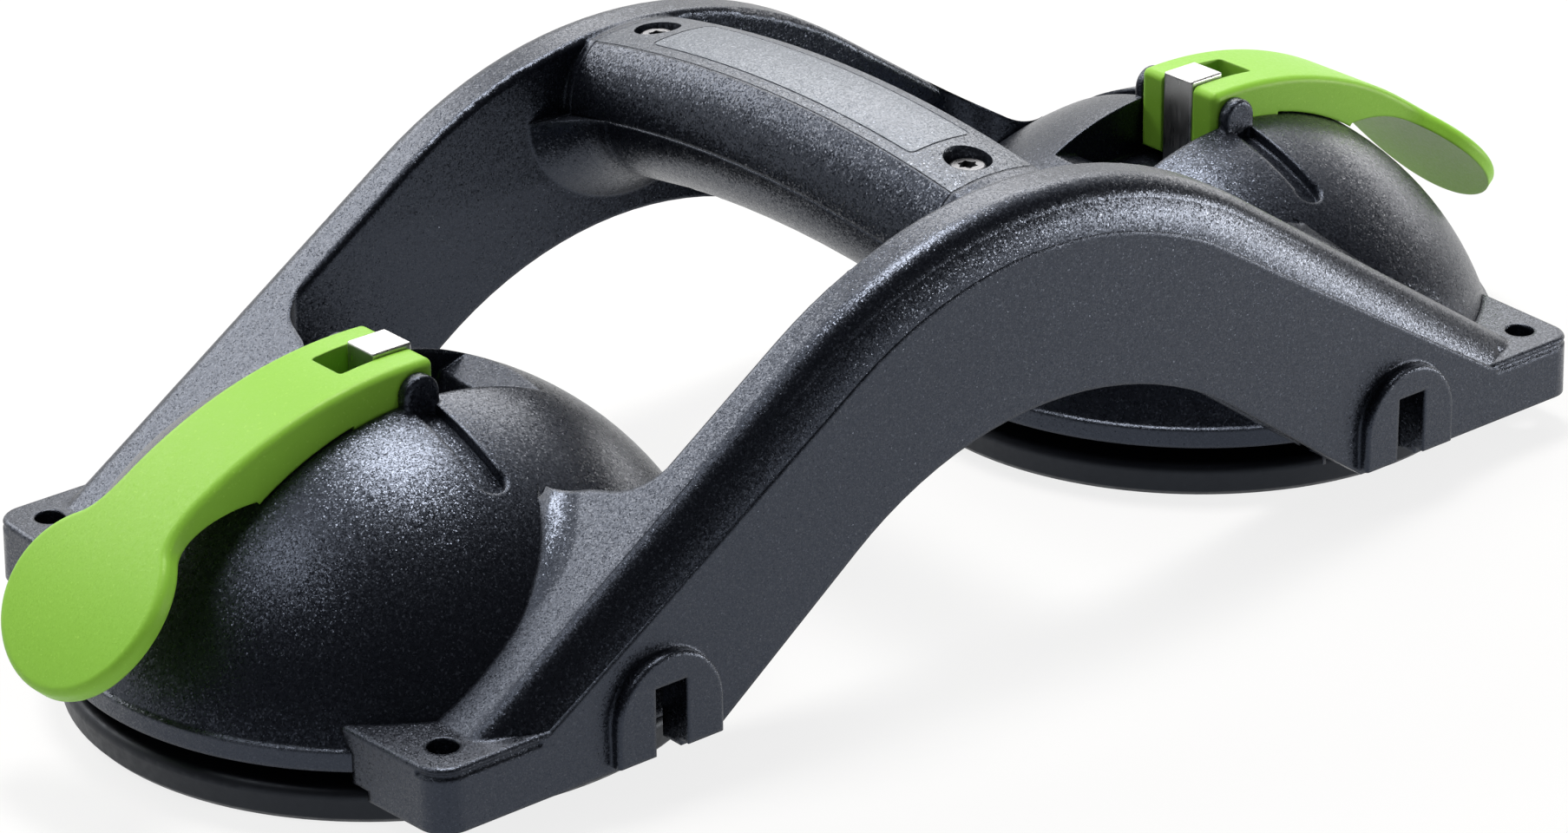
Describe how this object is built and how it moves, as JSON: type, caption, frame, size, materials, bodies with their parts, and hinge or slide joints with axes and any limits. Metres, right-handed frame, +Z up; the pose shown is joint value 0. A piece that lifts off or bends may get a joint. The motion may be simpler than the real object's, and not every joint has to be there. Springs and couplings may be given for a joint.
{
  "type": "double cup suction lifter",
  "caption": "Hand vacuum lifter for floor tiles: an arched frame with a cross handle carries suction cups, each drawn up by a cam lever with a round paddle.",
  "frame": {"origin": "middle of the lifter on the floor that the pads stand on", "axes": "+X from cup to cup, +Y along the handle, +Z up"},
  "size_m": [0.3506, 0.1398, 0.0893],
  "materials": {
    "body_plastic": "glass-filled nylon, fine spark-eroded texture",
    "grip_plastic": "glass-filled nylon, coarser spark-eroded texture",
    "cover_plastic": "glass-filled nylon, coarse spark-eroded texture",
    "label_film": "bare textured film",
    "lever_plastic": "moulded nylon, satin",
    "pad_rubber": "moulded rubber, smooth",
    "bush_plastic": "moulded acetal",
    "turned_steel": "turned and milled, bright",
    "zinc_steel": "zinc plated, dark",
    "spring_steel": "drawn wire"
  },
  "bodies": {
    "frame": {"frame_moulding": "body_plastic", "grip_shell": "grip_plastic", "handle_cover": "cover_plastic", "label_panel": "label_film", "cover_screws": "zinc_steel", "join_screws": "zinc_steel", "left_housing": "body_plastic", "left_guide_bush": "bush_plastic", "left_pad_rim": "pad_rubber", "left_membrane": "pad_rubber", "left_spring": "spring_steel", "right_housing": "body_plastic", "right_guide_bush": "bush_plastic", "right_pad_rim": "pad_rubber", "right_membrane": "pad_rubber", "right_spring": "spring_steel"},
    "left_hub": {"left_stud": "turned_steel", "left_hub_plate": "turned_steel", "left_hub_nut": "zinc_steel", "left_pivot_pin": "turned_steel"},
    "left_lever_arm": {"left_lever": "lever_plastic"},
    "right_hub": {"right_stud": "turned_steel", "right_hub_plate": "turned_steel", "right_hub_nut": "zinc_steel", "right_pivot_pin": "turned_steel"},
    "right_lever_arm": {"right_lever": "lever_plastic"}
  },
  "joints": [
    {"name": "left_stud_slide", "type": "slide", "parent": "frame", "child": "left_hub", "axis": [0, 0, -1], "range_m": [0, 0.0036], "deforming": ["left_membrane", "left_spring"]},
    {"name": "left_lever_hinge", "type": "hinge", "parent": "left_hub", "child": "left_lever_arm", "pos_m": [-0.0995, 0, 0.0575], "axis": [0, 1, 0], "range_deg": [0, 90]},
    {"name": "right_stud_slide", "type": "slide", "parent": "frame", "child": "right_hub", "axis": [0, 0, -1], "range_m": [0, 0.0036], "deforming": ["right_membrane", "right_spring"]},
    {"name": "right_lever_hinge", "type": "hinge", "parent": "right_hub", "child": "right_lever_arm", "pos_m": [0.0995, 0, 0.0575], "axis": [0, -1, 0], "range_deg": [0, 90]}
  ],
  "couplings": [
    {"joint": "left_stud_slide", "follows": "left_lever_hinge", "m_per_rad": 0.00229},
    {"joint": "right_stud_slide", "follows": "right_lever_hinge", "m_per_rad": 0.00229}
  ]
}
